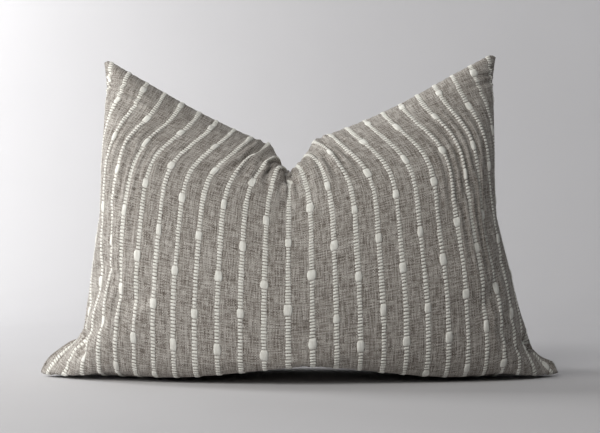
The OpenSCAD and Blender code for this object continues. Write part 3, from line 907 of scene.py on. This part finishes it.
def casingPiece(name, face, side, node):
    outer = innerFace(face, side, insert["clear"], insert["inset"])
    inner = outer - outward(outer, side) * insert["casingThick"]
    j, i = borderOf(*outer.shape[:2])
    toward = np.array([0.0, -side, 0.0])
    a, b = gridAB(*outer.shape[:2])
    inward = inwardSteps(a[j, i], b[j, i])
    outer[j, i] += toward * 0.0003
    inner[j, i] = outer[j, i] + toward * insert["casingThick"] + inward * 0.0006
    count = a.size
    index = np.arange(count).reshape(a.shape)
    faces = shellFaces(index, index + count, [(index[j, i], index[j, i] + count)])
    if side < 0:
        faces = faces[:, ::-1]
    flat = (np.stack([a + 1, b], axis=-1) * insert["cut"]).reshape(-1, 2)
    piece = makePiece(name, np.concatenate([outer.reshape(-1, 3), inner.reshape(-1, 3)]), faces.tolist(), node,
                      "casing_cloth", casingCloth, np.concatenate([flat, flat]))
    return outer


def fillPiece():
    clear = insert["clear"] + insert["casingThick"] + insert["fillClear"]
    front = innerFace(frontFace, 1, clear, insert["inset"] + 0.0022)
    back = innerFace(backFace, -1, clear, insert["inset"] + 0.0022)
    rng = np.random.default_rng(5)
    count = front.shape[0] * front.shape[1]
    index = np.arange(count).reshape(front.shape[:2])
    behind = index + count
    j, i = borderOf(*front.shape[:2])
    behind[j, i] = index[j, i]
    # the fibre lies in soft clumps
    clumps = rng.uniform(0, 0.0012, front.shape[:2])[..., None]
    clumps[j, i] = 0
    points = np.concatenate([(front - outward(front, 1) * clumps).reshape(-1, 3),
                             (back - outward(back, -1) * clumps).reshape(-1, 3)])
    faces = np.concatenate([quads(index), quads(behind)[:, ::-1]])
    used = np.unique(faces)
    renumber = np.zeros(len(points), dtype=int)
    renumber[used] = np.arange(len(used))
    piece = makePiece("insertFill", points[used], renumber[faces].tolist(), "insert_fill", "fibre_fill", fillFibre)


def labelPiece(face):
    a, b = np.meshgrid(np.linspace(*insert["labelA"], 9), np.linspace(*insert["labelB"], 13))
    normals = sampleGrid(outward(face, -1), a, b)
    under = sampleGrid(face, a, b) + normals * 0.00025
    over = under + normals * 0.00018
    count = a.size
    index = np.arange(count).reshape(a.shape)
    j, i = borderOf(*a.shape)
    faces = shellFaces(index, index + count, [(index[j, i], index[j, i] + count)])[:, ::-1]
    flat = (np.stack([a, b], axis=-1) * insert["cut"]).reshape(-1, 2)
    makePiece("insertLabel", np.concatenate([over.reshape(-1, 3), under.reshape(-1, 3)]), faces.tolist(),
              "insert_label", "label_cloth", labelCloth, np.concatenate([flat, flat]))


print("insert: casings, seam, fill and label")
frontCasing = casingPiece("insertFrontCasing", frontFace, 1, "insert_front_casing")
backCasing = casingPiece("insertBackCasing", backFace, -1, "insert_back_casing")
fillPiece()
labelPiece(backCasing)
casingSeam = (frontCasing + backCasing) / 2
caseJ, caseI = borderOf(*casingSeam.shape[:2])
caseA, caseB = gridAB(*casingSeam.shape[:2])
caseInward = inwardSteps(caseA[caseJ, caseI], caseB[caseJ, caseI])
makePiece("insertSeamThread", *tubeParts(casingSeam[caseJ, caseI] + caseInward * 0.0012, stitching["radius"], 4, True),
          "insert_seam_thread", "overlock_thread", overlockThread)

print("zip: finishes for the tape, coil, stops, slider and pull")
zipFinish = dict(
    zip_tape_front=tapeCloth, zip_tape_back=tapeCloth, zip_coil_front=coilNylon, zip_coil_back=coilNylon,
    zip_stitching=seamThread, zip_top_stops=coilNylon, zip_bottom_stop=coilNylon, zip_slider=zipEnamel,
    zip_pull=zipEnamel,
)
for node, material in zipFinish.items():
    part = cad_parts[node]
    part.data.materials.clear()
    part.data.materials.append(material)


# floor that sweeps up behind
studio = dict(
    floorBack=0.75,
    sweep=0.45,
    paper=(0.60, 0.595, 0.605, 1),
    lens=63.3,
    distance=1.08,
    height=0.12,
    aimHeight=0.163,
    roomColour=(0.92, 0.94, 1.0, 1),
    roomLight=0.03,
)


def buildStage():
    back, sweep = studio["floorBack"], studio["sweep"]
    profile = [(-2.0, 0.0), (back, 0.0)]
    for k in range(1, 17):
        t = k / 16 * math.pi / 2
        profile.append((back + sweep * math.sin(t), sweep - sweep * math.cos(t)))
    profile.append((back + sweep, 2.5))
    verts = [(x, y, z) for y, z in profile for x in (-3.0, 3.0)]
    faces = [(2 * k, 2 * k + 1, 2 * k + 3, 2 * k + 2) for k in range(len(profile) - 1)]
    mesh = bpy.data.meshes.new("stage")
    mesh.from_pydata(verts, [], faces)
    mesh.shade_smooth()
    stage = bpy.data.objects.new("stage", mesh)
    scene.collection.objects.link(stage)
    material, tree, shader = newMaterial("stagePaper", 0.9)
    tone = tree.noise(objectPlace(tree), (6.0, 6.0, 6.0), 2.0)
    paper = studio["paper"]
    slightly = tuple(0.96 * value for value in paper[:3]) + (1,)
    tree.link(tree.blendColour(tone, slightly, paper), shader.inputs["Base Color"])
    mesh.materials.append(material)


def aimAt(holder, target):
    dx, dy, dz = (target[k] - holder.location[k] for k in range(3))
    holder.rotation_euler = (math.atan2(math.hypot(dx, dy), -dz), 0, math.atan2(-dx, dy))


def buildCamera():
    camera = bpy.data.cameras.new("camera")
    camera.lens = studio["lens"]
    camera.sensor_width = 36
    holder = bpy.data.objects.new("camera", camera)
    scene.collection.objects.link(holder)
    holder.location = (0.0, -studio["distance"], studio["height"])
    aimAt(holder, (0.0, 0.0, studio["aimHeight"]))
    scene.camera = holder


# name, place, size, power, colour and aim of each soft light
lights = (
    ("front", (-0.9, -1.5, 1.5), 1.0, 19, (1.0, 0.985, 0.965), (0, 0, 0.12)),
    ("left", (-1.1, -0.75, 0.55), 0.6, 7.5, (1.0, 0.985, 0.965), (0, 0, 0.2)),
    ("backdropWash", (-1.5, 0.35, 0.9), 0.8, 26.5, (1.0, 1.0, 1.0), (-0.5, 1.2, 0.5)),
    ("backdropRight", (1.2, 0.2, 1.0), 0.8, 4, (0.97, 0.98, 1.0), (0.6, 1.2, 0.6)),
)


def buildLights():
    for name, place, size, power, colour, aim in lights:
        light = bpy.data.lights.new(name, "AREA")
        light.size = size
        light.energy = power
        light.color = colour
        holder = bpy.data.objects.new(name, light)
        holder.location = place
        aimAt(holder, aim)
        scene.collection.objects.link(holder)
    world = bpy.data.worlds.new("room")
    world.use_nodes = True
    world.node_tree.nodes["Background"].inputs[0].default_value = studio["roomColour"]
    world.node_tree.nodes["Background"].inputs[1].default_value = studio["roomLight"]
    scene.world = world


print("studio: floor, camera and lights")
buildStage()
buildCamera()
buildLights()
scene.view_settings.view_transform = "Standard"
